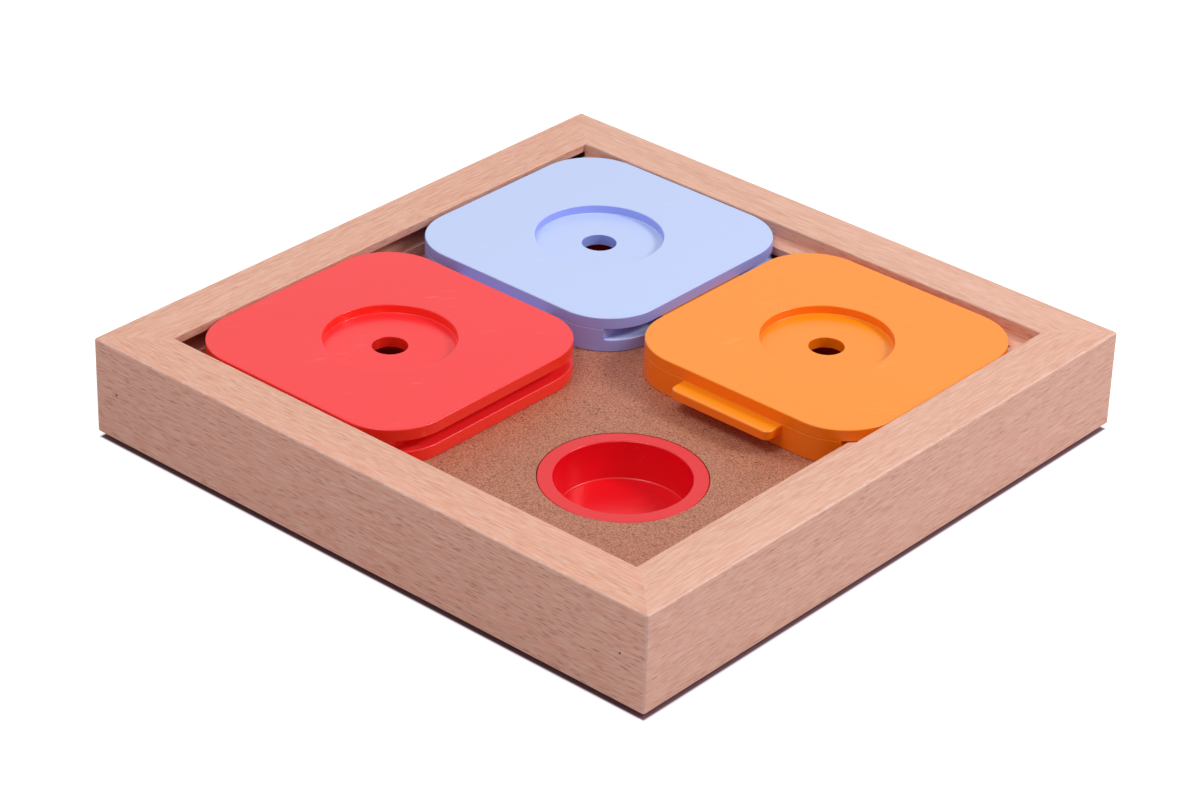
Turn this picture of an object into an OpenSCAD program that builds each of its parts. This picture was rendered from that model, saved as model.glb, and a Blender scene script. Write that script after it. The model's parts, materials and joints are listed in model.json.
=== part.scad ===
// Sliding-tile puzzle feeder for dogs: a square beech frame round a hardboard floor with four
// treat cups, and three plastic tiles that slide over them. One cell is always empty, so the
// tiles can be pushed about, and their tongues and slots keep them from being lifted out.
// Lengths are millimetres. The origin is on the ground, under the middle of the frame.

/* [Frame] */
// Outside length of each side of the square frame
frame_side = 260; // [220:1:340]
// Width of a rail, seen from above
rail_w = 20; // [18:0.5:28]
// Height of a rail
rail_h = 38; // [36:0.5:50]
// Radius of the frame's four upright corners
corner_r = 1; // [0.5:0.5:6]
// Radius of the long outer edges of a rail
edge_r = 0.75; // [0.5:0.25:3]
// Radius of the inner top edge of a rail
inner_edge_r = 0.6; // [0.25:0.05:1]

/* [Tiles] */
// Free play of a tile in its cell, between a wall and its neighbour
tile_play = 4; // [2:0.5:8]
// Radius of a tile's upright corners
tile_corner_r = 22.5; // [14:0.5:26]
// Height of the frame's top above a tile's top
tile_drop = 0.5; // [0:0.25:3]
// Thickness of the cover plate
cover_t = 4.5; // [3.8:0.1:6]
// Height of the tile's base
base_h = 9.5; // [8.5:0.5:14]
// Thickness of the base's walls and floor
base_wall = 2.4; // [1.6:0.1:3]
// Diameter of the dish in the cover
dish_d = 48.6; // [36:0.2:50]
// Depth of the dish
dish_depth = 3.4; // [2:0.1:3.4]
// Thickness of the dish's floor
dish_floor_t = 4.2; // [3:0.1:5]
// Diameter of the scent hole in the dish
scent_hole_d = 13; // [8:0.5:20]
// Gap between the dish's pan and the round wall of the base
pan_gap = 2.7; // [1:0.1:4]
// Diameter of the pegs that join a cover to its base
peg_d = 5; // [3:0.5:6]

/* [Tongues and slots] */
// Length of a tile's tongue
tongue_len = 45; // [30:1:56]
// How far a tongue stands out of the tile
tongue_out = 8; // [5:0.5:9]
// Thickness of a tongue
tongue_t = 3.8; // [3:0.1:4]
// Radius of the tongue's two outer corners
tongue_corner_r = 3; // [1:0.5:4]
// Gap over a tongue, under the neighbour's cover
tongue_gap_over = 0.4; // [0.2:0.1:0.8]
// Gap under a tongue, in the neighbour's slot
tongue_gap_under = 0.3; // [0.2:0.1:0.8]
// Gap between a tongue's tip and the back of a slot
tongue_tip_gap = 0.3; // [0.2:0.1:1]
// Extra depth of the rail grooves past the tip of a tongue
groove_tip_gap = 0.7; // [0.4:0.1:1.5]
// Gap over a tongue in a rail groove
groove_gap_over = 2; // [0.5:0.25:2.5]
// Gap under a tongue in a rail groove
groove_gap_under = 0.8; // [0.4:0.1:1.2]
// Gap over and under a guide strip in a tile's slot
strip_gap = 0.45; // [0.3:0.05:0.8]
// Gap between a guide strip's edge and the back of a slot
strip_tip_gap = 0.8; // [0.4:0.1:1.5]
// How deep a guide strip is let into its rail
strip_in = 6; // [4:0.5:8]

/* [Floor panel and cups] */
// Thickness of the hardboard panel
panel_t = 5; // [4:0.5:6]
// How deep the panel reaches into the rails
panel_in = 4.5; // [3:0.5:6]
// Gap over the panel and round its edge in the rails
panel_gap = 0.2; // [0.1:0.05:0.5]
// How far each cup sits from its cell's centre towards the middle of the board
cup_inset = 2.5; // [0:0.5:4]
// Diameter of a cup's mouth
cup_mouth_d = 48.4; // [36:0.2:52]
// Width of a cup's flange, from the mouth to its rim
cup_flange_w = 5.5; // [4:0.25:7]
// Thickness of a cup's flange
cup_flange_t = 2; // [1.5:0.25:2.5]
// Depth of a cup
cup_depth = 14.5; // [10:0.5:16]
// Thickness of a cup's wall and bottom
cup_wall = 1.8; // [1.2:0.1:2.2]
// How much narrower a cup is at its floor than at its mouth, in diameter
cup_taper = 2; // [0.5:0.25:4]
// Radius round the edge of a cup's floor
cup_floor_r = 1.6; // [0.8:0.2:3]
// Gap all round a cup in the panel
cup_gap = 0.3; // [0.15:0.05:0.5]

/* [Where the tiles lie] */
// Place of the red tile across its cell
red_x = -0.5; // [-1.5:0.1:1.5]
// Place of the red tile along its cell
red_y = 1; // [-1.5:0.1:1.5]
// Place of the blue tile across its cell
blue_x = 1.5; // [-1.5:0.1:1.5]
// Place of the blue tile along its cell
blue_y = 0.2; // [-1.5:0.1:1.5]
// Place of the orange tile across its cell
orange_x = -1.4; // [-1.5:0.1:1.5]
// Place of the orange tile along its cell
orange_y = -1.5; // [-1.5:0.1:1.5]

/* [Feet and pins] */
// Height of a rubber foot
foot_h = 2.5; // [1.5:0.25:6]
// Diameter of a foot where it meets the ground
foot_d = 10; // [6:0.5:12]
// Diameter of a foot where it meets the frame
foot_top_d = 12; // [8:0.5:14]
// Diameter of a corner pin
pin_d = 0.8; // [0.6:0.1:2]
// Length of a corner pin
pin_len = 30; // [20:1:40]
// Distance of a pin from the end of its rail
pin_from_end = 11; // [8:0.5:14]
// Depth of a pin's head below the wood
pin_sink = 0.5; // [0.25:0.25:2]
// Gap round a pin in its hole
pin_gap = 0.03; // [0.01:0.01:0.05]

/* [Hidden] */
$fn = 96;

cut = 0.5;                                  // how far a cutter runs past the face it opens

// plan
half = frame_side / 2;
inner = half - rail_w;                      // from the middle to a rail's inner face
cell = inner;                               // side of a cell: two cells fill the board each way
tile_side = cell - tile_play;
tile_half = tile_side / 2;
cup_at = cell / 2 - cup_inset;
red_at = [red_x - cell / 2, red_y + cell / 2];
blue_at = [blue_x + cell / 2, blue_y + cell / 2];
orange_at = [orange_x + cell / 2, orange_y - cell / 2];

// heights above the ground
wood_z = foot_h;
top_z = wood_z + rail_h;
panel_z = top_z - tile_drop - cover_t - base_h;  // top of the panel, on which the tiles slide
cover_z = panel_z + base_h;                      // underside of a cover
tongue_z = cover_z - tongue_gap_over - tongue_t;
slot_h = tongue_gap_under + tongue_t + tongue_gap_over;
strip_t = slot_h - 2 * strip_gap;
strip_z = cover_z - slot_h + strip_gap;
groove_z = tongue_z - groove_gap_under;
groove_h = groove_gap_under + tongue_t + groove_gap_over;

// depths of the slots and grooves, and how far a guide strip stands out
slot_depth = tongue_out + tongue_tip_gap;
groove_depth = tongue_out + groove_tip_gap;
strip_out = slot_depth - strip_tip_gap;

// tile
slot_back = tile_half - slot_depth;         // from a tile's middle to the back of its slots
slot_end_r = base_wall + 0.6;               // round corner where the two slots meet
pan_wall = 3;                               // width of the pan's rim round the dish
pan_d = dish_d + 2 * pan_wall;
pan_t = dish_depth + dish_floor_t - cover_t;
opening_d = pan_d + 2 * pan_gap;            // round opening through the base
boss_d = peg_d + 2 * base_wall;
boss_inset = 2.4;                           // between a boss and the wall behind a slot
boss_at = slot_back - base_wall - boss_inset - boss_d / 2;
peg_len = 4;
peg_gap = 0.05;

// cups
mouth_r = cup_mouth_d / 2;
floor_r = mouth_r - cup_taper / 2;
flange_r = mouth_r + cup_flange_w;
lip_r = 0.8;                                // round edge of the mouth

// pins
head_ledge = 0.1;                           // how far a pin's head stands out all round
head_d = pin_d + 2 * head_ledge;
head_t = 0.8;                               // thickness of a pin's head
pin_z = wood_z + rail_h / 2;

// feet
foot_inset = 2;                             // from the rails' inner faces to the top of a foot

// points of an arc round (x, y) from angle a to angle b
function arc(x, y, r, a, b, steps = 6) =
    [for (i = [0 : steps]) let (t = a + (b - a) * i / steps) [x + r * cos(t), y + r * sin(t)]];

// rectangle with round corners, centred
module round_rect(w, h, r) {
    square([w - 2 * r, h], center = true);
    square([w, h - 2 * r], center = true);
    for (x = [-1, 1], y = [-1, 1])
        translate([x * (w / 2 - r), y * (h / 2 - r)]) circle(r);
}

// what a round edge of radius r takes off a square corner at the origin
module corner_waste(r, x_sign, y_sign) {
    difference() {
        translate([x_sign * (r - cut) / 2, y_sign * (r - cut) / 2])
            square([r + cut, r + cut], center = true);
        translate([x_sign * r, y_sign * r]) circle(r);
    }
}

// section of a rail: x runs inwards from the outer face, y is the height above the underside
module rail_section(grooved) {
    difference() {
        square([rail_w, rail_h]);
        corner_waste(edge_r, 1, 1);
        translate([0, rail_h]) corner_waste(edge_r, 1, -1);
        translate([rail_w, rail_h]) corner_waste(inner_edge_r, -1, -1);
        // the panel lies on the lower face of its slot
        translate([rail_w - panel_in - panel_gap, panel_z - panel_t - wood_z])
            square([panel_in + panel_gap + cut, panel_t + panel_gap]);
        if (grooved)
            translate([rail_w - groove_depth, groove_z - wood_z])
                square([groove_depth + cut, groove_h]);
        else
            translate([rail_w - strip_in, strip_z - wood_z]) square([strip_in + cut, strip_t]);
    }
}

// a pin that runs along +X from its head at the origin
module pin(gap = 0) {
    rotate([0, 90, 0]) {
        cylinder(d = pin_d + 2 * gap, h = pin_len);
        cylinder(d = head_d + 2 * gap, h = head_t);
    }
}

// puts a child at the head of each pin: two in the left rail and two in the right rail
module at_pins() {
    for (turn = [0, 180], y = [-1, 1])
        rotate([0, 0, turn])
            translate([pin_sink - half, y * (half - pin_from_end), pin_z]) children();
}

module pin_holes() {
    at_pins() {
        pin(pin_gap);
        translate([-pin_sink - cut, 0, 0])
            rotate([0, 90, 0]) cylinder(d = head_d + 2 * pin_gap, h = pin_sink + 2 * cut);
    }
}

// a mitred rail: turn 0 is the front rail, 90 the right, 180 the back and 270 the left
module rail(turn, grooved) {
    color("burlywood") difference() {
        intersection() {
            rotate([0, 0, turn]) translate([-half, -half, wood_z])
                rotate([90, 0, 90]) linear_extrude(frame_side) rail_section(grooved);
            rotate([0, 0, turn])
                linear_extrude(top_z + cut) polygon([[0, 0], [-half, -half], [half, -half]]);
            linear_extrude(top_z + cut) round_rect(frame_side, frame_side, corner_r);
        }
        pin_holes();
    }
}

module front_rail() { rail(0, false); }
module right_rail() { rail(90, false); }
module back_rail() { rail(180, true); }
module left_rail() { rail(270, true); }

// the strip in the front rail: mitred at its right end, and cut square at the left rail's face
module front_guide_strip() {
    root = inner + strip_in;
    tip = inner - strip_out;
    color("tan") translate([0, 0, strip_z]) linear_extrude(strip_t)
        polygon([[-inner, -root], [root, -root], [tip, -tip], [-inner, -tip]]);
}

// the same strip, reflected in the mitre that the two share
module right_guide_strip() {
    mirror([1, 1, 0]) front_guide_strip();
}

// puts a child at the middle of a cup's mouth
module at_cup(x, y) {
    translate([x * cup_at, y * cup_at, panel_z]) children();
}

module hardboard_panel() {
    panel_side = 2 * (inner + panel_in);
    color("peru") difference() {
        translate([-panel_side / 2, -panel_side / 2, panel_z - panel_t])
            cube([panel_side, panel_side, panel_t]);
        for (x = [-1, 1], y = [-1, 1])
            at_cup(x, y) {
                translate([0, 0, -cup_flange_t])
                    cylinder(r = flange_r + cup_gap, h = cup_flange_t + cut);
                translate([0, 0, -panel_t - cut])
                    cylinder(r = mouth_r + cup_wall + cup_gap, h = panel_t + 2 * cut);
            }
    }
}

// a cup turned from its half section, with a round lip and a round floor edge
module cup(x, y) {
    section = concat(
        [[0, -cup_depth]],
        arc(floor_r - cup_floor_r, cup_floor_r - cup_depth, cup_floor_r, -90, 0),
        arc(mouth_r + lip_r, -lip_r, lip_r, 180, 90),
        [[flange_r, 0], [flange_r, -cup_flange_t], [mouth_r + cup_wall, -cup_flange_t]],
        arc(floor_r, -cup_depth, cup_wall, 0, -90),
        [[0, -cup_depth - cup_wall]]
    );
    color("crimson") at_cup(x, y) rotate_extrude() polygon(section);
}

module cup_front_left() { cup(-1, -1); }
module cup_front_right() { cup(1, -1); }
module cup_back_left() { cup(-1, 1); }
module cup_back_right() { cup(1, 1); }

// puts a child at each of a tile's four pegs
module at_pegs() {
    for (x = [-1, 1], y = [-1, 1])
        translate([x * boss_at, y * boss_at, 0]) children();
}

// plan of the tongue that points along -X, with its root inside the base's wall
module tongue_plan() {
    intersection() {
        translate([-tile_half, 0]) round_rect(2 * tongue_out, tongue_len, tongue_corner_r);
        translate([-tile_half - tongue_out, -tongue_len / 2])
            square([tongue_out + base_wall / 2, tongue_len]);
    }
}

// plan of the base at its slots, which run straight along the whole +X and -Y sides;
// inset gives the inner side of its wall
module slotted_plan(inset) {
    side = tile_side - 2 * inset;
    back = slot_back - inset;
    intersection() {
        round_rect(side, side, tile_corner_r - inset);
        translate([back - side, side - back])
            round_rect(2 * side, 2 * side, slot_end_r - inset);
    }
}

// a tile's base: a tray with a round opening, two tongues, two slots and four bosses
module tile_base(at) {
    translate([at.x, at.y, panel_z]) difference() {
        union() {
            linear_extrude(base_h - slot_h) round_rect(tile_side, tile_side, tile_corner_r);
            linear_extrude(base_h) slotted_plan(0);
            for (turn = [0, -90])
                rotate([0, 0, turn]) translate([0, 0, tongue_z - panel_z])
                    linear_extrude(tongue_t) tongue_plan();
        }
        difference() {
            translate([0, 0, base_wall]) linear_extrude(base_h) slotted_plan(base_wall);
            cylinder(d = opening_d + 2 * base_wall, h = base_h);
            at_pegs() cylinder(d = boss_d, h = base_h);
        }
        translate([0, 0, -cut]) cylinder(d = opening_d, h = base_h + 2 * cut);
        at_pegs() translate([0, 0, base_h - peg_len - cut])
            cylinder(d = peg_d + 2 * peg_gap, h = peg_len + 2 * cut);
    }
}

// a tile's cover: a plate with a dished pan that hangs below it, and four pegs
module tile_cover(at) {
    translate([at.x, at.y, cover_z]) difference() {
        union() {
            linear_extrude(cover_t) round_rect(tile_side, tile_side, tile_corner_r);
            translate([0, 0, -pan_t]) cylinder(d = pan_d, h = pan_t + cut);
            at_pegs() translate([0, 0, -peg_len]) cylinder(d = peg_d, h = peg_len + cut);
        }
        translate([0, 0, cover_t - dish_depth]) cylinder(d = dish_d, h = dish_depth + cut);
        translate([0, 0, -pan_t - cut]) cylinder(d = scent_hole_d, h = pan_t + cover_t + 2 * cut);
    }
}

module red_base() { color("red") tile_base(red_at); }
module red_cover() { color("tomato") tile_cover(red_at); }
module blue_base() { color("slateblue") tile_base(blue_at); }
module blue_cover() { color("lightsteelblue") tile_cover(blue_at); }
module orange_base() { color("darkorange") tile_base(orange_at); }
module orange_cover() { color("sandybrown") tile_cover(orange_at); }

// a round rubber foot under a mitre
module foot(x, y) {
    foot_at = inner + foot_top_d / 2 + foot_inset;
    color("dimgray") translate([x * foot_at, y * foot_at, 0])
        cylinder(d1 = foot_d, d2 = foot_top_d, h = foot_h);
}

module foot_front_left() { foot(-1, -1); }
module foot_front_right() { foot(1, -1); }
module foot_back_left() { foot(-1, 1); }
module foot_back_right() { foot(1, 1); }

module corner_pins() { color("silver") at_pins() pin(); }

front_rail();
right_rail();
back_rail();
left_rail();
front_guide_strip();
right_guide_strip();
hardboard_panel();
cup_front_left();
cup_front_right();
cup_back_left();
cup_back_right();
red_base();
red_cover();
blue_base();
blue_cover();
orange_base();
orange_cover();
foot_front_left();
foot_front_right();
foot_back_left();
foot_back_right();
corner_pins();
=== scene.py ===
"""Looks of a sliding-tile puzzle feeder for dogs: a steamed-beech frame, a hardboard floor with four
treat cups, and three satin plastic tiles that slide over them.

Shapes are worked out in millimetres, in the CAD model's own frame, and become metres as each mesh is
made. Places come from the CAD nodes' boxes.
"""

import json
import math

import bmesh
import bpy
import numpy as np
from mathutils import Matrix, Vector


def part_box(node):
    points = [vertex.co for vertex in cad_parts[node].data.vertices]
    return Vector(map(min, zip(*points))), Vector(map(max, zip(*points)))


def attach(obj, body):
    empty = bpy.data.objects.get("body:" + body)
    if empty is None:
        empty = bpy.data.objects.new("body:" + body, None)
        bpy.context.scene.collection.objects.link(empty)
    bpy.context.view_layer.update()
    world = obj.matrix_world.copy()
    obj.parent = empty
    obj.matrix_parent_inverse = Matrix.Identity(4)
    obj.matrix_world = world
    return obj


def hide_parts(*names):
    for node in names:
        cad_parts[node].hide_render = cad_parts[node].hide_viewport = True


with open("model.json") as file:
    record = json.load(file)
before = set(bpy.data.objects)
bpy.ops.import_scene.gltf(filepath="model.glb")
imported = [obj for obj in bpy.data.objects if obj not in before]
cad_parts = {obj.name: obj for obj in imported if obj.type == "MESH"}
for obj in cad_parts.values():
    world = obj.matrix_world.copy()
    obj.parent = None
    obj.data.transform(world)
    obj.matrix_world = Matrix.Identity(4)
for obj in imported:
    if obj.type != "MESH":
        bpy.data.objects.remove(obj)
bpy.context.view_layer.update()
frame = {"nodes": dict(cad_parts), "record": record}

MM = 0.001                     # metres in a millimetre
SMOOTH_BELOW = 35.0            # degrees: edges that turn less than this are shaded smooth
MERGE_WITHIN = 0.002           # millimetres: points nearer than this become one
TINY = 1e-9                    # keeps a vector of no length from being divided by zero

# frame rails, in millimetres
CORNER_R = 1.0                 # the frame's upright corners
CORNER_STEPS = 6               # flats in each half of such a corner
RAIL_EDGE_R = 0.75             # long outer edges
RAIL_INNER_EDGE_R = 0.6        # inner top edge
GROOVE_LIP_R = 0.25            # lips of the grooves
GROOVE_GAP_OVER = 2.0          # room over a tongue in a groove
GROOVE_GAP_UNDER = 0.8
GROOVE_TIP_GAP = 0.7
PANEL_GAP = 0.2                # room over the panel and past its edge
STRIP_EDGE_R = 0.5             # long edges of the guide strips
PIN_R = 0.4                    # the corner pins, and their holes
PIN_LENGTH = 30.0
PIN_HEAD_T = 0.8
PIN_GAP = 0.03
DRILL_PAST = 1.0               # how far a drill starts outside the rail
GRAIN_SHIFT = (733, 97, 41)    # from one rail's wood to the next, so that no two look alike

# tiles
TILE_CORNER_R = 22.5
SIDE_STEPS = 16                # points along half of a side
ROUND_STEPS = 24               # flats in a corner
EDGE_STEPS = 4                 # flats round a moulded edge
DISH_R = 24.3
DISH_DEPTH = 3.4
DISH_FLOOR_T = 4.2
HOLE_R = 6.5
PAN_WALL = 3.0                 # rim of the dish's pan, under the cover
PAN_GAP = 2.7                  # from the pan to the base's round wall
BASE_WALL = 2.4
SLOT_HEIGHT = 4.5
SLOT_GAP = 0.3                 # from a tongue's tip to the back of a slot
SLOT_CORNER_R = 3.0            # where the two slots of a tile meet
TONGUE_HEIGHT = 3.8
TONGUE_LOW = 0.3               # from the slot's floor up to a tongue
TONGUE_LENGTH = 45.0
TONGUE_CORNER_R = 3.0
PEG_R = 2.5                    # pegs under the cover, which stand in the base's bosses
PEG_LENGTH = 4.0
PEG_GAP = 0.05
PEG_ROOT = 1.0                 # how far a peg runs up into the cover
PEG_CHAMFER = 0.5
BOSS_INSET = 2.4               # from the base's wall to a boss
BOSS_ROOT = 1.0                # how far a boss runs down into the base's floor
OPENING_EDGE_R = 0.4           # lower edge of the base's round opening
COVER_EDGE_R = 0.45            # moulded edges
COVER_UNDER_R = 0.1
BASE_TOP_R = 0.4               # catches the light as a thin line under the cover
DISH_RIM_R = 0.4
DISH_FOOT_R = 0.3
HOLE_EDGE_R = 0.25
TONGUE_EDGE_R = 0.6

# cups
MOUTH_R = 24.2                 # inner radius at the mouth, and at the floor
FLOOR_R = 23.2
FLANGE_T = 2.0
FLANGE_SUNK = 0.03             # below the panel's face, so that the tiles run clear of it
CUP_WALL = 1.8
CUP_DEPTH = 14.5
LIP_R = 0.5                    # round from the flange into the cup
CUP_FOOT_R = 0.6               # round where the inner wall meets the floor
FLANGE_EDGE_R = 0.3
FLANGE_UNDER_R = 0.5           # round where the outer wall meets the flange

# rubber feet
FOOT_GROUND_R = 5.0            # where they meet the ground
FOOT_ROLL_R = 0.8              # the rolled lower edge
FOOT_TOP_EDGE_R = 0.2

# camera, as the frame's edges in the photograph give it: degrees, and millimetres
CAMERA_AZIMUTH = -49.445
CAMERA_ELEVATION = 29.909
CAMERA_ROLL = 1.818
CAMERA_DISTANCE = 1374.263
CAMERA_RIGHT = -2.695          # how far the camera is slid along its own right and up
CAMERA_UP = 9.471
LENS = 113.53
SENSOR_WIDTH = 36.0
NEAR_CLIP = 0.05               # metres

# light
SKY_STRENGTH = 0.4             # a strength of 1 is white
FLOOR_GLOW = 0.65
FLOOR_GLOW_STARTS = 1.0        # how far inside the frame's outline, in millimetres, the glow starts and the painted shadow under the frame ends
FLOOR_REACH = 6.0              # metres
LAMPS = (                      # name, place and size in metres, power in watts
    ("front_lamp", (0.65, -0.9, 1.0), 0.4, 10.1),
    ("left_lamp", (-0.55, 0.1, 1.42), 0.6, 7.4),
)
WHITE = (1.0, 1.0, 1.0, 1.0)

record = frame["record"]
SLOT_OF = {row["node"]: row["material_slot"] for row in record["subparts"]}
BODY_OF = {node: body for body, nodes in record["behaviour"]["bodies"].items() for node in nodes}


def box_mm(node):
    """Lowest and highest corner of a CAD node, in millimetres."""
    low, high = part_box(node)
    return np.array(low) / MM, np.array(high) / MM


# heights and reaches that the CAD nodes' boxes give
low, high = box_mm("left_rail")
FRAME_HALF = -low[0]
RAIL_WIDTH = high[0] - low[0]
WOOD_LOW = low[2]
WOOD_TOP = high[2]
low, high = box_mm("hardboard_panel")
PANEL_LOW = low[2]
PANEL_TOP = high[2]
PANEL_IN = high[0] - (FRAME_HALF - RAIL_WIDTH)
low, high = box_mm("red_base")
TONGUE_OUT = box_mm("red_cover")[0][0] - low[0]
TILE_BASE_TOP = high[2]
TONGUE_Z = TILE_BASE_TOP - SLOT_HEIGHT + TONGUE_LOW
low, high = box_mm("front_guide_strip")
STRIP_LOW = low[2]
STRIP_TOP = high[2]
STRIP_ROOT = FRAME_HALF + low[1]       # from the frame's outer face
STRIP_TIP = FRAME_HALF + high[1]


# ---------------------------------------------------------------- meshes

def unit(vectors):
    """Each vector divided by its length."""
    return vectors / np.maximum(np.linalg.norm(vectors, axis=-1, keepdims=True), TINY)


def rounded(corners, steps=4):
    """Outline of a polygon with round corners, each given as (x, y, radius).

    A round touches both sides at radius / tan(a) from the corner and its centre lies radius / sin(a)
    along the line that halves the corner, where a is half of the angle between the two sides.
    """
    corners = np.array(corners, float)
    place = corners[:, :2]
    radius = corners[:, 2:]
    to_last = unit(np.roll(place, 1, axis=0) - place)
    to_next = unit(np.roll(place, -1, axis=0) - place)
    cosine = np.sum(to_last * to_next, axis=1, keepdims=True)
    half_angle = np.arccos(np.clip(cosine, -1, 1)) / 2
    centre = place + unit(to_last + to_next) * radius / np.sin(half_angle)
    first = place + to_last * radius / np.tan(half_angle) - centre
    last = place + to_next * radius / np.tan(half_angle) - centre
    start = np.arctan2(first[:, 1:], first[:, :1])
    sweep = np.arctan2(last[:, 1:], last[:, :1]) - start
    sweep = (sweep + math.pi) % (2 * math.pi) - math.pi
    turn = start + sweep * np.linspace(0, 1, steps + 1)
    arc = np.stack([np.cos(turn), np.sin(turn)], axis=-1)
    return (centre[:, None, :] + radius[:, None, :] * arc).reshape(-1, 2)


def skin(rings, ends):
    """Closed surface through rings of equally many points, each joined to the next by four-sided faces.

    ends is "joined" where the last ring meets the first, "flat" where a flat face closes each end
    ring, and "points" where the end rings have shrunk to a point.
    """
    rings = np.array(rings, float)
    index = np.arange(rings.shape[0] * rings.shape[1]).reshape(rings.shape[:2])
    rows = np.vstack([index, index[:1]]) if ends == "joined" else index
    beside = np.roll(rows, -1, axis=1)
    faces = np.stack([rows[:-1], beside[:-1], beside[1:], rows[1:]], axis=-1).reshape(-1, 4).tolist()
    if ends == "flat":
        faces += [index[0].tolist(), index[-1].tolist()]
    return rings.reshape(-1, 3), faces


def lathe(section, centre, ends="joined", around=32):
    """A section of (radius, height) turned about the upright line through centre."""
    radius, height = np.array(section, float).T[:, :, None]
    turn = np.linspace(0, 2 * math.pi, around, endpoint=False)
    rings = np.stack([
        centre[0] + radius * np.cos(turn),
        centre[1] + radius * np.sin(turn),
        centre[2] + height + 0 * turn,
    ], axis=-1)
    return skin(rings, ends)


def make_object(name, skins):
    """One object from closed skins in millimetres, with doubles merged and normals outward."""
    points, faces, count = [], [], 0
    for skin_points, skin_faces in skins:
        points.append(skin_points)
        faces += [[count + corner for corner in face] for face in skin_faces]
        count += len(skin_points)
    mesh = bpy.data.meshes.new(name)
    mesh.from_pydata((np.vstack(points) * MM).tolist(), [], faces)
    shape = bmesh.new()
    shape.from_mesh(mesh)
    bmesh.ops.remove_doubles(shape, verts=shape.verts, dist=MERGE_WITHIN * MM)
    bmesh.ops.recalc_face_normals(shape, faces=shape.faces)
    shape.to_mesh(mesh)
    shape.free()
    piece = bpy.data.objects.new(name, mesh)
    bpy.context.scene.collection.objects.link(piece)
    return piece


def finish_piece(piece, node):
    """Shades the piece, lets it stand for the CAD node, and gives it that node's body and finish."""
    piece.data.shade_smooth()
    piece.data.set_sharp_from_angle(angle=math.radians(SMOOTH_BELOW))
    even = piece.modifiers.new("even_shading", "WEIGHTED_NORMAL")
    even.keep_sharp = True
    piece.data.materials.clear()
    piece.data.materials.append(FINISHES[SLOT_OF[node]])
    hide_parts(node)
    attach(piece, BODY_OF[node])


# ---------------------------------------------------------------- materials

def srgb(code):
    """Linear colour of an sRGB hex code such as "#d0a080"."""
    values = [int(code[i:i + 2], 16) / 255 for i in (1, 3, 5)]
    linear = [v / 12.92 if v <= 0.04045 else ((v + 0.055) / 1.055) ** 2.4 for v in values]
    return (*linear, 1.0)


def add(tree, kind, inputs=None, **settings):
    """Adds a shader node. inputs maps a socket's name or number to a value, a socket or a node.

    Of a node, the first output in use is taken. A name means the first socket in use that has it.
    """
    node = tree.nodes.new("ShaderNode" + kind)
    for name, value in settings.items():
        setattr(node, name, value)
    for key, value in (inputs or {}).items():
        socket = node.inputs[key] if isinstance(key, int) else next(
            s for s in node.inputs if s.enabled and s.name == key)
        if isinstance(value, bpy.types.Node):
            value = next(s for s in value.outputs if s.enabled)
        if isinstance(value, bpy.types.NodeSocket):
            tree.links.new(value, socket)
        else:
            socket.default_value = value
    return node


def new_material(name, **constants):
    """A material with one Principled BSDF. Its constant values are set on the shader's own sockets."""
    material = bpy.data.materials.new(name)
    material.use_nodes = True
    shader = material.node_tree.nodes["Principled BSDF"]
    for socket, value in constants.items():
        shader.inputs[socket.replace("_", " ")].default_value = value
    return material, material.node_tree, shader


def connect(tree, shader, **sources):
    """Links nodes or sockets to the shader's sockets of these names."""
    for name, source in sources.items():
        if isinstance(source, bpy.types.Node):
            source = next(s for s in source.outputs if s.enabled)
        tree.links.new(source, shader.inputs[name.replace("_", " ")])


def place_in_mm(tree):
    """The piece's own coordinates, in millimetres."""
    place = add(tree, "TexCoord").outputs["Object"]
    return add(tree, "VectorMath", {0: place, "Scale": 1 / MM}, operation="SCALE")


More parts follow.
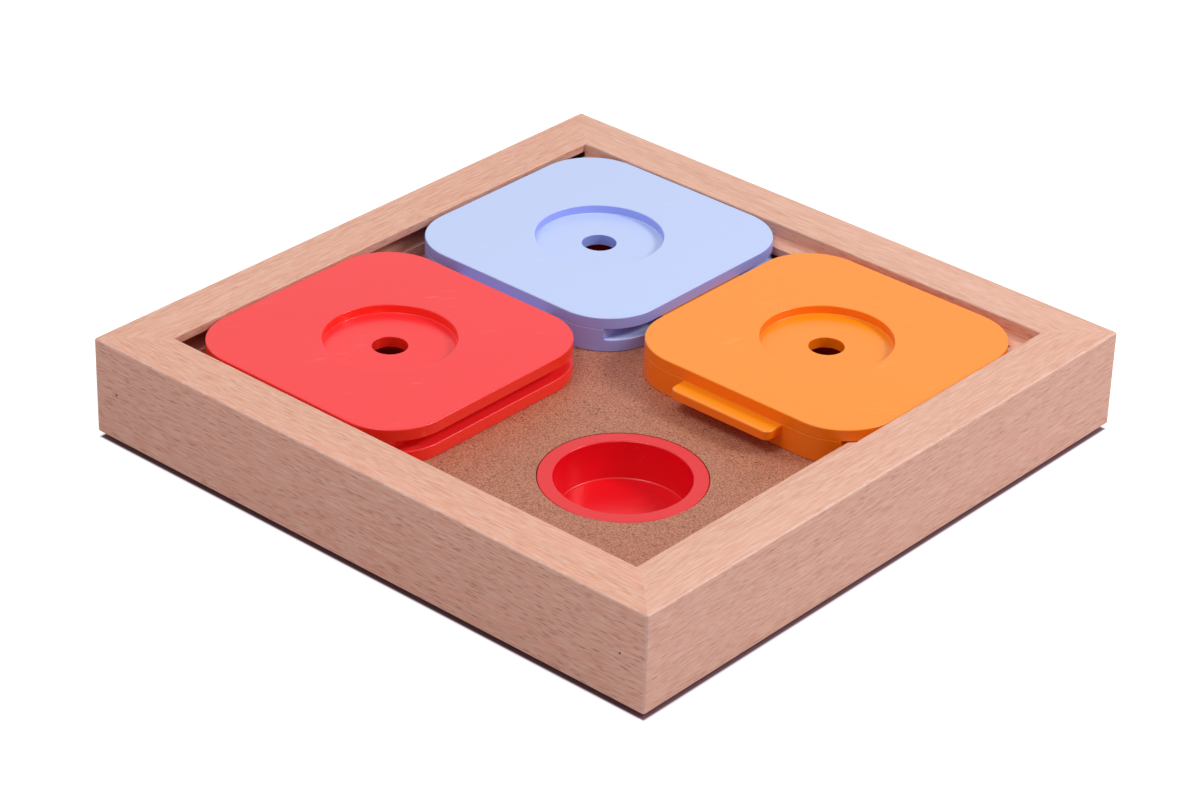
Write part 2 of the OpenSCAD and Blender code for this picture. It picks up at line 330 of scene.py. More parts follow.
def steamed_beech():
    """Beech, steamed to a pinkish tan, planed, sanded and thinly oiled.

    It gives fine straight fibres, soft bands where the year rings run out, the short dark ray flecks
    that only beech has, clearest on the rails' upright faces, edges painted pale, partly as rubbed wear
    and partly as a painted highlight, and upright faces painted redder and darker as painted shade.
    """
    material, tree, shader = new_material("steamed_beech_sanded", IOR=1.5)
    grain = add(tree, "Attribute", attribute_name="grain").outputs["Vector"]
    tone_and_painted_shade = add(tree, "Attribute", attribute_name="tone_and_painted_shade").outputs["Fac"]
    # the grain wanders by up to 1 mm over some 50 mm
    wander = add(tree, "TexNoise", {"Vector": grain, "Scale": 1 / 50, "Detail": 1.0})
    grain = add(tree, "VectorMath", {0: grain, 1: wander.outputs["Color"]}, operation="ADD")

    # fibres: streaks 9 mm long, drawn 0.8 mm wide because the real 0.2 mm is too fine to show
    at = add(tree, "VectorMath", {0: grain, 1: (1 / 9, 1 / 0.8, 1 / 0.8)}, operation="MULTIPLY")
    fibre = add(tree, "TexNoise", {"Vector": at, "Scale": 1.0, "Detail": 3.0, "Roughness": 0.65})
    # year rings: bands 6 mm wide and about 150 mm long
    at = add(tree, "VectorMath", {0: grain, 1: (1 / 150, 1 / 6, 1 / 6)}, operation="MULTIPLY")
    ring = add(tree, "TexNoise", {"Vector": at, "Scale": 1.0, "Detail": 2.0, "Roughness": 0.5})
    # ray flecks: up to 4 mm long and 0.3 mm wide, about one to each 10 square millimetres
    at = add(tree, "VectorMath", {0: grain, 1: (1 / 8, 1 / 0.65, 1 / 0.65)}, operation="MULTIPLY")
    cell = add(tree, "TexVoronoi", {"Vector": at, "Scale": 1.0})
    fleck = add(tree, "MapRange", {"Value": cell, "From Min": 0.15, "From Max": 0.26,
                                   "To Min": 1.0, "To Max": 0.0})
    # rays differ in darkness from one to the next and from ring to ring, and they are paler in pale
    # timber and on the top faces
    strength = add(tree, "SeparateColor", {"Color": cell.outputs["Color"]})
    strength = add(tree, "MapRange", {"Value": strength, "To Min": 0.6, "To Max": 1.0})
    facing = add(tree, "SeparateXYZ", {"Vector": add(tree, "NewGeometry").outputs["Normal"]})
    upright = add(tree, "MapRange", {"Value": facing.outputs["Z"], "From Min": 0.3, "From Max": 0.9,
                                     "To Min": 1.0, "To Max": 0.45})
    dark = add(tree, "MapRange", {"Value": tone_and_painted_shade, "To Min": 1.0, "To Max": 0.6})
    in_ring = add(tree, "MapRange", {"Value": ring, "From Min": 0.35, "From Max": 0.6, "To Min": 0.6})
    for share in (strength, upright, dark, in_ring):
        fleck = add(tree, "Math", {0: fleck, 1: share}, operation="MULTIPLY")

    # timber tone, which on the rails is partly painted shade on the left rail and a painted reflection on
    # the front rail
    plain = add(tree, "Mix", {"Factor": tone_and_painted_shade, "A": srgb("#e0977a"), "B": srgb("#e2ab93")},
                data_type="RGBA")
    # painted shade: the upright faces are painted a little redder and darker than the top, as if less light
    # falls on them
    painted_side_shade = add(tree, "Math", {0: upright, 1: 0.45}, operation="MULTIPLY")
    plain = add(tree, "Mix", {"Factor": painted_side_shade, "A": plain, "B": srgb("#cf8773")}, data_type="RGBA")
    ringed = add(tree, "MapRange", {"Value": ring, "From Min": 0.35, "From Max": 0.65,
                                    "To Min": 0.0, "To Max": 0.55})
    banded = add(tree, "Mix", {"Factor": ringed, "A": plain, "B": srgb("#cd8f74")}, data_type="RGBA")
    fibred = add(tree, "MapRange", {"Value": fibre, "From Min": 0.3, "From Max": 0.7,
                                    "To Min": 0.0, "To Max": 0.7})
    streaked = add(tree, "Mix", {"Factor": fibred, "A": banded, "B": srgb("#f2cbb6")}, data_type="RGBA")
    flecked = add(tree, "Mix", {"Factor": fleck, "A": streaked, "B": srgb("#8c4f3f")}, data_type="RGBA")

    # the top's outer edges and the frame's corners are painted pale, 1 mm wide, with nicks 2.5 mm long:
    # partly rubbed wear, partly a painted highlight along the rounded edges
    mm = place_in_mm(tree)
    reach = add(tree, "SeparateXYZ", {"Vector": add(tree, "VectorMath", {0: mm}, operation="ABSOLUTE")})
    farther = add(tree, "Math", {0: reach.outputs["X"], 1: reach.outputs["Y"]}, operation="MAXIMUM")
    nearer = add(tree, "Math", {0: reach.outputs["X"], 1: reach.outputs["Y"]}, operation="MINIMUM")
    from_outer = add(tree, "Math", {0: FRAME_HALF, 1: farther}, operation="SUBTRACT")
    from_corner = add(tree, "Math", {0: FRAME_HALF, 1: nearer}, operation="SUBTRACT")
    from_top = add(tree, "Math", {0: WOOD_TOP, 1: reach.outputs["Z"]}, operation="SUBTRACT")
    from_rim = add(tree, "Math", {0: from_outer, 1: from_top}, operation="MAXIMUM")
    from_edge = add(tree, "Math", {0: from_rim, 1: from_corner}, operation="MINIMUM")
    rubbed = add(tree, "MapRange", {"Value": from_edge, "From Min": 0.3, "From Max": 1.1,
                                    "To Min": 1.0, "To Max": 0.0})
    nicks = add(tree, "TexNoise", {"Vector": mm, "Scale": 1 / 2.5, "Detail": 2.0})
    nicked = add(tree, "MapRange", {"Value": nicks, "From Min": 0.52, "From Max": 0.68,
                                    "To Min": 0.2, "To Max": 0.6})
    wear_and_painted_highlight = add(tree, "Math", {0: rubbed, 1: nicked}, operation="MULTIPLY")
    coloured = add(tree, "Mix", {"Factor": wear_and_painted_highlight, "A": flecked, "B": srgb("#f1d3c8")}, data_type="RGBA")

    relief = add(tree, "Math", {0: fibre, 1: fleck}, operation="SUBTRACT")
    bump = add(tree, "Bump", {"Height": relief, "Strength": 0.35, "Distance": 0.05 * MM})
    rough = add(tree, "MapRange", {"Value": fibre, "To Min": 0.45, "To Max": 0.62})
    connect(tree, shader, Base_Color=coloured, Roughness=rough, Normal=bump)
    return material


def pressed_hardboard():
    """Hardboard, smooth side up: fine wood fibres pressed to a matt brown skin.

    It gives an even brown with flecks of bark, a few pale chips and a faint mottle.
    """
    material, tree, shader = new_material("pressed_hardboard", IOR=1.5)
    mm = place_in_mm(tree)
    # a faint mottle, in patches 9 mm across
    mottle = add(tree, "TexNoise", {"Vector": mm, "Scale": 1 / 9, "Detail": 3.0})
    # pressed fibres, drawn 0.6 mm across because the real 0.2 mm is too fine to show
    fine = add(tree, "TexNoise", {"Vector": mm, "Scale": 1 / 0.6, "Detail": 3.0, "Roughness": 0.75})
    # flecks of bark, up to 1 mm across, about 5 mm apart
    bark_cell = add(tree, "TexVoronoi", {"Vector": mm, "Scale": 1 / 2.6})
    bark = add(tree, "MapRange", {"Value": bark_cell, "From Min": 0.1, "From Max": 0.22,
                                  "To Min": 1.0, "To Max": 0.0})
    bark_strength = add(tree, "SeparateColor", {"Color": bark_cell.outputs["Color"]})
    bark_strength = add(tree, "MapRange", {"Value": bark_strength, "From Min": 0.3})
    bark = add(tree, "Math", {0: bark, 1: bark_strength}, operation="MULTIPLY")
    # pale chips, 0.7 mm across, about 11 mm apart, in other places than the bark
    chip_at = add(tree, "VectorMath", {0: mm, 1: (3.1, 7.7, 1.3)}, operation="ADD")
    chip_cell = add(tree, "TexVoronoi", {"Vector": chip_at, "Scale": 1 / 4.5})
    chip = add(tree, "MapRange", {"Value": chip_cell, "From Min": 0.04, "From Max": 0.08,
                                  "To Min": 0.5, "To Max": 0.0})
    base = add(tree, "Mix", {"Factor": mottle, "A": srgb("#bf7c60"), "B": srgb("#ca8c70")}, data_type="RGBA")
    grainy = add(tree, "MapRange", {"Value": fine, "From Min": 0.42, "From Max": 0.6,
                                    "To Min": 0.0, "To Max": 0.9})
    speckled = add(tree, "Mix", {"Factor": grainy, "A": base, "B": srgb("#854a34")}, data_type="RGBA")
    barked = add(tree, "Mix", {"Factor": bark, "A": speckled, "B": srgb("#3f2018")}, data_type="RGBA")
    chipped = add(tree, "Mix", {"Factor": chip, "A": barked, "B": srgb("#d8ab94")}, data_type="RGBA")
    bump = add(tree, "Bump", {"Height": fine, "Strength": 0.3, "Distance": 0.05 * MM})
    rough = add(tree, "MapRange", {"Value": mottle, "To Min": 0.42, "To Max": 0.58})
    connect(tree, shader, Base_Color=chipped, Roughness=rough, Normal=bump)
    return material


def satin_plastic(name, colour, painted_wall_shade_colour, worn_colour):
    """ABS moulded in a finely spark-eroded mould: one strong colour with a satin sheen.

    It gives a broad soft reflection and a few fine scuffs, paler and duller than the rest. Its upright
    walls are painted a deeper colour, the second colour given, as painted shade for light scattered
    inside the plastic. The mould's own grain is too fine to show and is left to the roughness.
    """
    material, tree, shader = new_material(name, IOR=1.5)
    mm = place_in_mm(tree)
    # slight waves that the plastic takes as it shrinks in the mould, 6 mm from crest to crest
    waves = add(tree, "TexNoise", {"Vector": mm, "Scale": 1 / 6, "Detail": 1.0})
    # handling marks: soft lines 0.5 mm wide and 12 mm long, only where hands rub
    rubbed = add(tree, "TexNoise", {"Vector": mm, "Scale": 1 / 18, "Detail": 2.0})
    rubbed = add(tree, "MapRange", {"Value": rubbed, "From Min": 0.55, "From Max": 0.7})
    slanted = add(tree, "Mapping", {"Vector": mm, "Rotation": (0.1, 0.07, 0.6)})
    at = add(tree, "VectorMath", {0: slanted, 1: (1 / 12, 1, 1 / 3)}, operation="MULTIPLY")
    line = add(tree, "TexNoise", {"Vector": at, "Scale": 1.0, "Detail": 1.0})
    line = add(tree, "MapRange", {"Value": line, "From Min": 0.6, "From Max": 0.8, "To Max": 0.25})
    scuff = add(tree, "Math", {0: line, 1: rubbed}, operation="MULTIPLY")
    facing = add(tree, "SeparateXYZ", {"Vector": add(tree, "NewGeometry").outputs["Normal"]})
    upward = add(tree, "MapRange", {"Value": facing.outputs["Z"], "From Min": 0.2, "From Max": 0.8})
    # painted shade: the upright walls are painted a deeper colour, for light scattered inside the plastic
    painted_wall_shade = add(tree, "Mix", {"Factor": upward, "A": srgb(painted_wall_shade_colour), "B": srgb(colour)},
                 data_type="RGBA")
    scuffed = add(tree, "Mix", {"Factor": scuff, "A": painted_wall_shade, "B": srgb(worn_colour)}, data_type="RGBA")
    bump = add(tree, "Bump", {"Height": waves, "Strength": 0.3, "Distance": 0.05 * MM})
    rough = add(tree, "MapRange", {"Value": scuff, "To Min": 0.28, "To Max": 0.4})
    connect(tree, shader, Base_Color=scuffed, Roughness=rough, Normal=bump)
    return material


def foot_rubber():
    """Black rubber, moulded: matt and dusty, with its fine grain drawn 0.6 mm across so that it shows."""
    material, tree, shader = new_material("moulded_rubber", IOR=1.5)
    grain = add(tree, "TexNoise", {"Vector": place_in_mm(tree), "Scale": 1 / 0.6, "Detail": 2.0})
    dusty = add(tree, "Mix", {"Factor": grain, "A": srgb("#232122"), "B": srgb("#343132")}, data_type="RGBA")
    bump = add(tree, "Bump", {"Height": grain, "Strength": 0.2, "Distance": 0.05 * MM})
    rough = add(tree, "MapRange", {"Value": grain, "To Min": 0.7, "To Max": 0.85})
    connect(tree, shader, Base_Color=dusty, Roughness=rough, Normal=bump)
    return material


def drawn_steel():
    """Steel wire, drawn and blackened in oil: a dull brown-grey metal with fine lines along it.

    The lines are 6 mm long and drawn 0.15 mm wide, coarser than the real ones, so that they show.
    """
    material, tree, shader = new_material("oil_blackened_steel_wire", Metallic=1.0)
    mm = place_in_mm(tree)
    at = add(tree, "VectorMath", {0: mm, 1: (1 / 6, 1 / 0.15, 1 / 0.15)}, operation="MULTIPLY")
    lines = add(tree, "TexNoise", {"Vector": at, "Scale": 1.0, "Detail": 2.0})
    grey = add(tree, "Mix", {"Factor": lines, "A": srgb("#5c4a42"), "B": srgb("#86726a")}, data_type="RGBA")
    rough = add(tree, "MapRange", {"Value": lines, "To Min": 0.3, "To Max": 0.5})
    connect(tree, shader, Base_Color=grey, Roughness=rough)
    return material


# the plastics' colours are those of level faces, of upright walls, which is painted shade for light
# scattered inside, and of scuffs
FINISHES = {
    "beech": steamed_beech(),
    "hardboard": pressed_hardboard(),
    "cup_red": satin_plastic("moulded_abs_cup_red", "#e60c1c", "#e80a1e", "#ffb0a8"),
    "tile_red": satin_plastic("moulded_abs_red", "#fb2c30", "#ff2a18", "#ffb8b0"),
    "tile_blue": satin_plastic("moulded_abs_blue", "#c2d2fb", "#a2aefc", "#f2f5ff"),
    "tile_orange": satin_plastic("moulded_abs_orange", "#fd910a", "#ff7c00", "#ffd8a0"),
    "foot_rubber": foot_rubber(),
    "pin_steel": drawn_steel(),
}


# ---------------------------------------------------------------- frame rails and guide strips

# turn in degrees from the front rail, how pale the timber is from 0 to 1, and whether tongues run in it;
# the pale front rail and the dark left rail are partly painted light: a painted reflection on the front
# rail's outer face and painted shade on the left rail's
RAILS = {
    "front_rail": (0, 0.9, False),
    "right_rail": (90, 1.0, False),
    "back_rail": (180, 0.4, True),
    "left_rail": (270, 0.1, True),
}


def rail_section(grooved):
    """Section of a rail, as distance inward from its outer face and height above the ground."""
    slot_top = PANEL_TOP + PANEL_GAP
    slot_in = RAIL_WIDTH - PANEL_IN - PANEL_GAP
    if grooved:
        groove_low = TONGUE_Z - GROOVE_GAP_UNDER
        groove_top = TONGUE_Z + TONGUE_HEIGHT + GROOVE_GAP_OVER
        groove_in = RAIL_WIDTH - TONGUE_OUT - GROOVE_TIP_GAP
    else:
        groove_low, groove_top, groove_in = STRIP_LOW, STRIP_TOP, STRIP_ROOT
    lip = GROOVE_LIP_R if grooved else 0
    return rounded([
        (0, WOOD_LOW, RAIL_EDGE_R),
        (0, WOOD_TOP, RAIL_EDGE_R),
        (RAIL_WIDTH, WOOD_TOP, RAIL_INNER_EDGE_R),
        (RAIL_WIDTH, groove_top, lip),
        (groove_in, groove_top, 0),
        (groove_in, groove_low, 0),
        (RAIL_WIDTH, groove_low, lip),
        (RAIL_WIDTH, slot_top, 0),
        (slot_in, slot_top, 0),
        (slot_in, PANEL_LOW, 0),
        (RAIL_WIDTH, PANEL_LOW, 0),
        (RAIL_WIDTH, WOOD_LOW, GROOVE_LIP_R),
    ])


def turned(points, degrees):
    """Points turned about the upright axis."""
    c, s = math.cos(math.radians(degrees)), math.sin(math.radians(degrees))
    return points @ np.array([[c, s, 0], [-s, c, 0], [0, 0, 1]])


def rail_skin(section, turn):
    """A section swept from mitre to mitre, with the frame's corner rounds at both ends.

    A line at distance d inward of the outer face starts on the mitre with half of a round of radius
    corner radius - d, or with a sharp corner where d is more than the corner radius.
    """
    inward, height = section.T[:, None, :]
    # from the mitre, at 225 degrees, to the front face, at 270
    angle = np.radians(np.linspace(225, 270, CORNER_STEPS + 1))[:, None]
    radius = np.maximum(CORNER_R - inward, 0)
    past = np.maximum(inward - CORNER_R, 0)
    centre = CORNER_R - FRAME_HALF
    x = centre + past + radius * np.cos(angle)
    y = centre + past + radius * np.sin(angle)
    left_end = np.stack([x, y, height + 0 * x], axis=-1)
    right_end = (left_end * [-1, 1, 1])[::-1]
    points, faces = skin(np.concatenate([left_end, right_end]), "flat")
    return turned(points, turn), faces


def strip_skin():
    """The front guide strip: square at the left rail's inner face, mitred at its right end.

    A line at distance d inward of the frame's outer face lies at y = d - FRAME_HALF, starts at the
    left rail's inner face, and ends on the mitre, where x = -y.
    """
    section = rounded([
        (STRIP_ROOT, STRIP_LOW, 0),
        (STRIP_ROOT, STRIP_TOP, 0),
        (STRIP_TIP, STRIP_TOP, STRIP_EDGE_R),
        (STRIP_TIP, STRIP_LOW, STRIP_EDGE_R),
    ])
    y = section[:, 0] - FRAME_HALF
    square_end = np.stack([0 * y - FRAME_HALF + RAIL_WIDTH, y, section[:, 1]], axis=-1)
    mitred_end = np.stack([-y, y, section[:, 1]], axis=-1)
    return skin(np.stack([square_end, mitred_end]), "flat")


def pin_drill():
    """The four corner pins' holes as one cutting object: a bore, and a wider recess for the head."""
    low, high = box_mm("corner_pins")
    head_r = (high[2] - low[2]) / 2
    pin_z = (high[2] + low[2]) / 2
    pin_y = high[1] - head_r
    head_x = FRAME_HALF - high[0]
    bore = [
        (0, -DRILL_PAST),
        (head_r + PIN_GAP, -DRILL_PAST),
        (head_r + PIN_GAP, head_x + PIN_HEAD_T),
        (PIN_R + PIN_GAP, head_x + PIN_HEAD_T),
        (PIN_R + PIN_GAP, head_x + PIN_LENGTH),
        (0, head_x + PIN_LENGTH),
    ]
    points, faces = lathe(bore, (0, 0, 0), "points")
    lying = points[:, [2, 0, 1]] + [-FRAME_HALF, 0, pin_z]
    drills = []
    for x_side in (1, -1):
        for y in (pin_y, -pin_y):
            drills.append((lying * [x_side, 1, 1] + [0, y, 0], faces))
    return make_object("pin_drill", drills)


def cut_out(piece, cutter):
    """Takes the cutter's shape out of the piece's mesh."""
    cut = piece.modifiers.new("cut", "BOOLEAN")
    cut.object = cutter
    cut.operation = "DIFFERENCE"
    cut.solver = "EXACT"
    bpy.context.view_layer.update()
    drilled = piece.evaluated_get(bpy.context.evaluated_depsgraph_get())
    piece.data = bpy.data.meshes.new_from_object(drilled)
    piece.modifiers.clear()


def mark_grain(piece, turn, index, tone_and_painted_shade):
    """Stores the wood's own directions on the piece, in millimetres: along, across and up.

    index tells one length of wood from the next, and the tone value says how pale it is, from 0 to 1: partly
    the timber's own tone, partly painted shade and light.
    """
    mesh = piece.data
    co = np.empty(len(mesh.vertices) * 3)
    mesh.vertices.foreach_get("co", co)
    along = turned(co.reshape(-1, 3) / MM, -turn) + index * np.array(GRAIN_SHIFT)
    grain = mesh.attributes.new("grain", "FLOAT_VECTOR", "POINT")
    grain.data.foreach_set("vector", along.ravel())
    shade = mesh.attributes.new("tone_and_painted_shade", "FLOAT", "POINT")
    shade.data.foreach_set("value", np.full(len(mesh.vertices), tone_and_painted_shade))


drill = pin_drill()
for index, (node, (turn, tone_and_painted_shade, grooved)) in enumerate(RAILS.items()):
    timber = make_object(node + "_timber", [rail_skin(rail_section(grooved), turn)])
    cut_out(timber, drill)
    mark_grain(timber, turn, index, tone_and_painted_shade)
    finish_piece(timber, node)
bpy.data.objects.remove(drill)

strip_points, strip_faces = strip_skin()
front_strip = make_object("front_guide_strip_timber", [(strip_points, strip_faces)])
mark_grain(front_strip, turn=0, index=5, tone_and_painted_shade=0.7)
finish_piece(front_strip, "front_guide_strip")
# the right strip is the front one reflected in the mitre that the two share
reflected = strip_points[:, [1, 0, 2]] * [-1, -1, 1]
right_strip = make_object("right_guide_strip_timber", [(reflected, strip_faces)])
mark_grain(right_strip, turn=90, index=6, tone_and_painted_shade=0.5)
finish_piece(right_strip, "right_guide_strip")


# ---------------------------------------------------------------- tiles

low, high = box_mm("red_cover")
TILE_HALF = (high[0] - low[0]) / 2
COVER_TOP = high[2]
COVER_LOW = TILE_BASE_TOP
BASE_LOW = PANEL_TOP
SHELF_TOP = COVER_LOW - SLOT_HEIGHT
SLOT_BACK = TILE_HALF - TONGUE_OUT - SLOT_GAP
PAN_R = DISH_R + PAN_WALL
PAN_LOW = COVER_TOP - DISH_DEPTH - DISH_FLOOR_T
OPENING_R = PAN_R + PAN_GAP


def tile_quarter():
    """A quarter of a tile's outline and the directions outward from it, from +X round towards +Y.

    A straight run up the side, the round corner, and the straight run mirrored in the diagonal. The
    round has a point where the back of a slot cuts it.
    """
    straight = TILE_HALF - TILE_CORNER_R
    run = np.linspace(0, straight, SIDE_STEPS, endpoint=False)
    side = np.stack([np.full(SIDE_STEPS, TILE_HALF), run], axis=1)
    slot_cut = math.acos((SLOT_BACK - straight) / TILE_CORNER_R)
    cuts = [slot_cut, math.pi / 2 - slot_cut]
    angle = np.sort(np.concatenate([np.linspace(0, math.pi / 2, ROUND_STEPS + 1), cuts]))
    facing = np.stack([np.cos(angle), np.sin(angle)], axis=1)
    corner = straight + TILE_CORNER_R * facing
    points = np.vstack([side, corner, side[:0:-1, ::-1]])
    outward = np.vstack([0 * side + [1, 0], facing, 0 * side[1:] + [0, 1]])
    return points, outward


def four_turns(quarter):
    """A quarter's points followed by the same points turned by 90, 180 and 270 degrees."""
    quarter_turn = np.array([[0, 1], [-1, 0]])
    return np.vstack([quarter @ np.linalg.matrix_power(quarter_turn, k) for k in range(4)])


TILE_POINTS, TILE_OUTWARD = (four_turns(q) for q in tile_quarter())


def outline(inset):
    """A tile's outline, moved in by inset."""
    return TILE_POINTS - inset * TILE_OUTWARD


def circle(radius):
    """A circle with a point in the direction of each point of the outline."""
    return radius * unit(TILE_POINTS)


def slotted(inset):
    """The outline cut off straight by the backs of the two slots, with a round where they meet."""
    plan = outline(inset)
    cut = np.stack([np.minimum(plan[:, 0], SLOT_BACK - inset),
                    np.maximum(plan[:, 1], inset - SLOT_BACK)], axis=1)
    centre = (SLOT_BACK - SLOT_CORNER_R) * np.array([1, -1])
    from_centre = plan - centre
    in_corner = (from_centre[:, :1] > 0) & (from_centre[:, 1:] < 0)
    return np.where(in_corner, centre + (SLOT_CORNER_R - inset) * unit(from_centre), cut)


def level(plan, height):
    """A plan's points at a height."""
    return np.hstack([plan, height * np.ones((len(plan), 1))])


def turn_edge(plan, radius, height, start, stop):
    """Rings round an edge, from angle start to angle stop in degrees.

    The ring at angle t is the plan moved in by radius * (1 - cos t), at height + radius * sin t.
    """
    angles = np.radians(np.linspace(start, stop, EDGE_STEPS + 1))
    return [level(plan(radius * (1 - math.cos(t))), height + radius * math.sin(t)) for t in angles]


def tongue_plan(inset):
    """The tongue that points along -X, with its root inside the base's wall."""
    tip = -TILE_HALF - TONGUE_OUT + inset
    root = BASE_WALL / 2 - TILE_HALF
    side = TONGUE_LENGTH / 2 - inset
    corner = TONGUE_CORNER_R - inset
    return rounded([(tip, -side, corner), (root, -side, 0), (root, side, 0), (tip, side, corner)],
                   steps=8)


def boss_places():
    """Where a tile's four bosses stand, from its middle."""
    reach = SLOT_BACK - BASE_WALL - BOSS_INSET - PEG_R - BASE_WALL
    return [(x * reach, y * reach, 0) for x in (-1, 1) for y in (-1, 1)]


def base_skins():
    """A tile's base round its own middle: a tray with a round opening, tongues, slots and bosses.

    The rings run from the opening's lower edge out along the underside, up the outer wall, in over the
    slots' floor, up the slots' backs to the top, down inside the wall, in along the tray's floor, up
    the round wall, and over its top back to the opening.
    """
    slot_depth = np.linalg.norm(TILE_POINTS - slotted(0), axis=1, keepdims=True)
    shelf_r = np.minimum(COVER_EDGE_R, slot_depth / 2)
    rings = (
        turn_edge(lambda inset: circle(OPENING_R + inset), OPENING_EDGE_R, BASE_LOW + OPENING_EDGE_R, 0, -90)
        + turn_edge(outline, COVER_EDGE_R, BASE_LOW + COVER_EDGE_R, -90, 0)
        + turn_edge(outline, shelf_r, SHELF_TOP - shelf_r, 0, 90)
        + [level(slotted(0), SHELF_TOP)]
        + turn_edge(slotted, BASE_TOP_R, COVER_LOW - BASE_TOP_R, 0, 90)
        + [level(slotted(BASE_WALL), height) for height in (COVER_LOW, BASE_LOW + BASE_WALL)]
        + [level(circle(OPENING_R + BASE_WALL), height) for height in (BASE_LOW + BASE_WALL, COVER_LOW)]
        + [level(circle(OPENING_R), COVER_LOW)]
    )
    tongue_low = TONGUE_Z + TONGUE_EDGE_R
    tongue_top = TONGUE_Z + TONGUE_HEIGHT - TONGUE_EDGE_R
    tongue, faces = skin(turn_edge(tongue_plan, TONGUE_EDGE_R, tongue_low, -90, 0)
                         + turn_edge(tongue_plan, TONGUE_EDGE_R, tongue_top, 0, 90), "flat")
    boss_low = BASE_LOW + BASE_WALL - BOSS_ROOT
    boss = [(PEG_R + PEG_GAP, boss_low), (PEG_R + BASE_WALL, boss_low),
            (PEG_R + BASE_WALL, COVER_LOW), (PEG_R + PEG_GAP, COVER_LOW)]
    bosses = [lathe(boss, place) for place in boss_places()]
    return [skin(rings, "joined"), (tongue, faces), (turned(tongue, -90), faces)] + bosses


def cover_skins():
    """A tile's cover round its own middle: a plate with a dished pan that hangs below it, and pegs.

    The rings run from the scent hole's upper edge out over the dish's floor, up its wall, out over the
    top, down the outer edge, in along the underside, down the pan, and in to the hole's lower edge.
    """
    dish_floor = COVER_TOP - DISH_DEPTH
    rings = (
        turn_edge(lambda inset: circle(HOLE_R + inset), HOLE_EDGE_R, dish_floor - HOLE_EDGE_R, 0, 90)
        + turn_edge(lambda inset: circle(DISH_R - inset), DISH_FOOT_R, dish_floor + DISH_FOOT_R, -90, 0)
        + turn_edge(lambda inset: circle(DISH_R + inset), DISH_RIM_R, COVER_TOP - DISH_RIM_R, 0, 90)
        + turn_edge(outline, COVER_EDGE_R, COVER_TOP - COVER_EDGE_R, 90, 0)
        + turn_edge(outline, COVER_UNDER_R, COVER_LOW + COVER_UNDER_R, 0, -90)
        + [level(circle(PAN_R), COVER_LOW)]
        + turn_edge(lambda inset: circle(PAN_R - inset), HOLE_EDGE_R, PAN_LOW + HOLE_EDGE_R, 0, -90)
        + [level(circle(HOLE_R), PAN_LOW)]
    )
    peg_low = COVER_LOW - PEG_LENGTH
    peg = [(0, COVER_LOW + PEG_ROOT), (PEG_R, COVER_LOW + PEG_ROOT), (PEG_R, peg_low + PEG_CHAMFER),
           (PEG_R - PEG_CHAMFER, peg_low), (0, peg_low)]
    return [skin(rings, "joined")] + [lathe(peg, place, "points") for place in boss_places()]


for tile in ("red", "blue", "orange"):
    low, high = box_mm(tile + "_cover")
    middle = np.array([(low[0] + high[0]) / 2, (low[1] + high[1]) / 2, 0])
    for part, skins in (("base", base_skins()), ("cover", cover_skins())):
        in_place = [(points + middle, faces) for points, faces in skins]
        moulding = make_object(f"{tile}_{part}_moulding", in_place)
        finish_piece(moulding, f"{tile}_{part}")


# ---------------------------------------------------------------- cups, feet, panel and pins

def cup_outline(flange_r):
    """Section of a cup from its axis, with heights from its mouth: inside first, then the outside."""
    bottom = -CUP_DEPTH - CUP_WALL
    return rounded([
        (0, -CUP_DEPTH, 0),
        (FLOOR_R, -CUP_DEPTH, CUP_FOOT_R),
        (MOUTH_R, 0, LIP_R),
        (flange_r, 0, FLANGE_EDGE_R),
        (flange_r, FLANGE_SUNK - FLANGE_T, 0),
        (MOUTH_R + CUP_WALL, FLANGE_SUNK - FLANGE_T, FLANGE_UNDER_R),
        (FLOOR_R + CUP_WALL, bottom, CUP_WALL),
        (0, bottom, 0),
    ], steps=6)


def foot_outline(top_r, height):
    """Section of a rubber foot: a short cone with a rolled lower edge."""
    return rounded([
        (0, 0, 0),
        (FOOT_GROUND_R, 0, FOOT_ROLL_R),
        (top_r, height, FOOT_TOP_EDGE_R),
        (0, height, 0),
    ], steps=6)


for place in ("front_left", "front_right", "back_left", "back_right"):
    low, high = box_mm("cup_" + place)
    mouth = ((low[0] + high[0]) / 2, (low[1] + high[1]) / 2, high[2] - FLANGE_SUNK)
    cup_skin = lathe(cup_outline((high[0] - low[0]) / 2), mouth, "points", around=128)
    cup = make_object(f"cup_{place}_moulding", [cup_skin])
    finish_piece(cup, "cup_" + place)

    low, high = box_mm("foot_" + place)
    stand = ((low[0] + high[0]) / 2, (low[1] + high[1]) / 2, low[2])
    foot_skin = lathe(foot_outline((high[0] - low[0]) / 2, high[2]), stand, "points", around=48)
    foot = make_object(f"foot_{place}_moulding", [foot_skin])
    finish_piece(foot, "foot_" + place)

# the panel and the pins are seen in their solids' own shapes
for node in ("hardboard_panel", "corner_pins"):
    solid = frame["nodes"][node]
    solid.data.materials.clear()
    solid.data.materials.append(FINISHES[SLOT_OF[node]])


# ---------------------------------------------------------------- stage, light and camera

def look_from(azimuth, elevation):
    """Unit vector from the object towards a camera at this azimuth and elevation, in degrees."""
    a, e = math.radians(azimuth), math.radians(elevation)
    return Vector((math.sin(a) * math.cos(e), -math.cos(a) * math.cos(e), math.sin(e)))


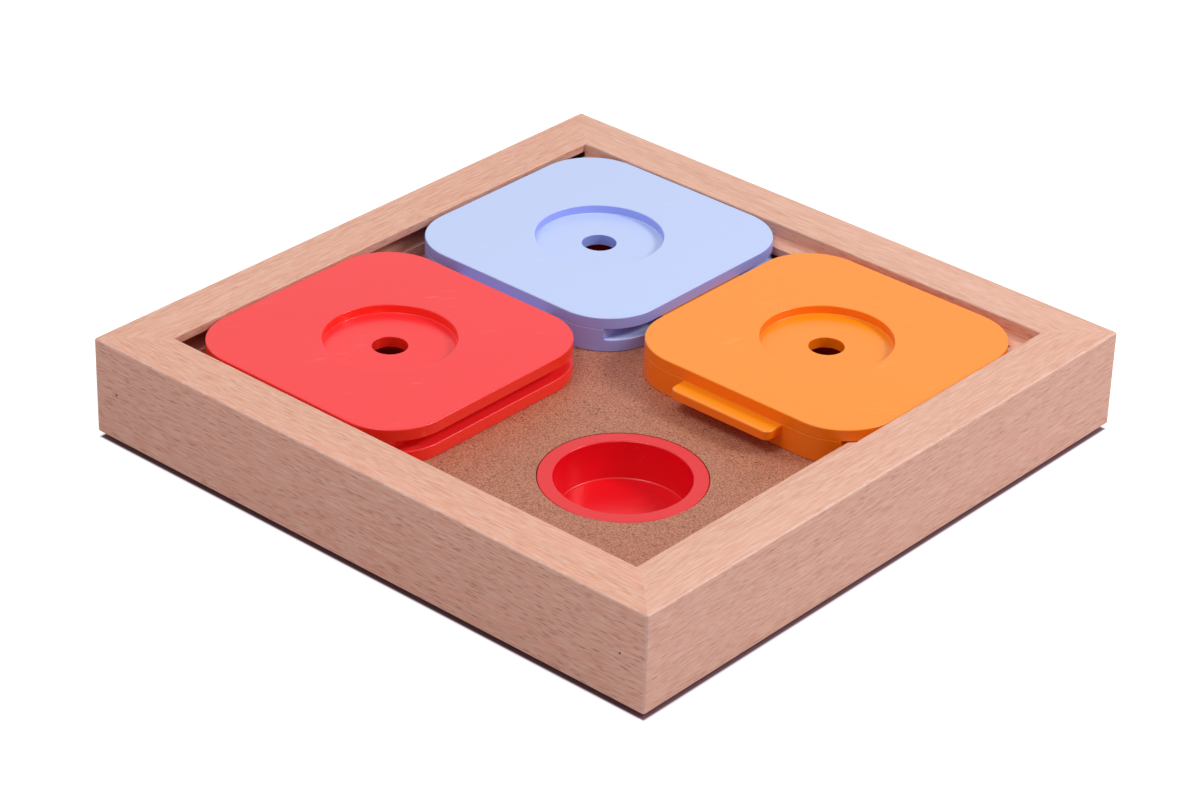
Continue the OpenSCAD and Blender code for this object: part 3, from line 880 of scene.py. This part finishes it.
def add_camera():
    """A camera at the photograph's angle, turned about its own axis and slid along its right and up."""
    data = bpy.data.cameras.new("camera")
    data.sensor_width = SENSOR_WIDTH
    data.lens = LENS
    data.clip_start = NEAR_CLIP
    camera = bpy.data.objects.new("camera", data)
    bpy.context.scene.collection.objects.link(camera)
    back = look_from(CAMERA_AZIMUTH, CAMERA_ELEVATION)
    level_right = Vector((0, 0, 1)).cross(back).normalized()
    level_up = back.cross(level_right)
    roll = math.radians(CAMERA_ROLL)
    right = math.cos(roll) * level_right + math.sin(roll) * level_up
    up = -math.sin(roll) * level_right + math.cos(roll) * level_up
    place = (CAMERA_DISTANCE * back + CAMERA_RIGHT * right + CAMERA_UP * up) * MM
    place.z += WOOD_LOW * MM       # the camera's own numbers count height from the wood's lower edge
    camera.matrix_world = Matrix.Translation(place) @ Matrix((right, up, back)).transposed().to_4x4()
    bpy.context.scene.camera = camera


def add_lamp(name, place, size, power):
    """A square soft lamp that faces the origin, on the ground under the object's middle."""
    data = bpy.data.lights.new(name, "AREA")
    data.size = size
    data.energy = power
    lamp = bpy.data.objects.new(name, data)
    bpy.context.scene.collection.objects.link(lamp)
    away = Vector(place).normalized()
    lamp.matrix_world = Matrix.Translation(place) @ away.to_track_quat("Z", "Y").to_matrix().to_4x4()


def add_floor():
    """A wide pale floor. To the camera it glows, so that it is white where no shadow falls.

    Under the frame, where the feet leave a narrow gap, it doesn't glow and the paper is painted dark, as a
    painted shadow.
    """
    mesh = bpy.data.meshes.new("studio_floor")
    corners = [(x * FLOOR_REACH, y * FLOOR_REACH, 0) for x, y in ((-1, -1), (1, -1), (1, 1), (-1, 1))]
    mesh.from_pydata(corners, [], [(0, 1, 2, 3)])
    floor = bpy.data.objects.new("studio_floor", mesh)
    bpy.context.scene.collection.objects.link(floor)
    material, tree, shader = new_material("white_paper_painted_shadow", Roughness=0.9)
    shader.inputs["Emission Color"].default_value = WHITE
    path = add(tree, "LightPath")
    place = add(tree, "TexCoord").outputs["Object"]
    reach = add(tree, "SeparateXYZ", {"Vector": add(tree, "VectorMath", {0: place}, operation="ABSOLUTE")})
    out = add(tree, "Math", {0: reach.outputs["X"], 1: reach.outputs["Y"]}, operation="MAXIMUM")
    clear = add(tree, "MapRange", {"Value": out, "From Min": (FRAME_HALF - FLOOR_GLOW_STARTS) * MM,
                                   "From Max": FRAME_HALF * MM})
    # painted shadow: the paper under the frame's footprint is painted dark
    paper_and_painted_shadow = add(tree, "Mix", {"Factor": clear, "A": srgb("#846068"), "B": srgb("#d6d3dc")}, data_type="RGBA")
    glow = add(tree, "Math", {0: clear, 1: path.outputs["Is Camera Ray"]}, operation="MULTIPLY")
    glow = add(tree, "Math", {0: glow, 1: FLOOR_GLOW}, operation="MULTIPLY")
    connect(tree, shader, Base_Color=paper_and_painted_shadow, Emission_Strength=glow)
    mesh.materials.append(material)


def add_sky():
    """Even white light from all round, and plain white where the camera or a gloss sees past the floor."""
    world = bpy.data.worlds.new("studio")
    world.use_nodes = True
    tree = world.node_tree
    tree.nodes.clear()
    path = add(tree, "LightPath")
    seen = add(tree, "Math", {0: path.outputs["Is Camera Ray"], 1: path.outputs["Is Glossy Ray"]},
               operation="MAXIMUM")
    strength = add(tree, "MapRange", {"Value": seen, "To Min": SKY_STRENGTH, "To Max": 1.0})
    background = add(tree, "Background", {"Color": WHITE, "Strength": strength})
    add(tree, "OutputWorld", {"Surface": background})
    bpy.context.scene.world = world


add_floor()
add_sky()
for name, place, size, power in LAMPS:
    add_lamp(name, place, size, power)
add_camera()
bpy.context.scene.view_settings.view_transform = "Standard"
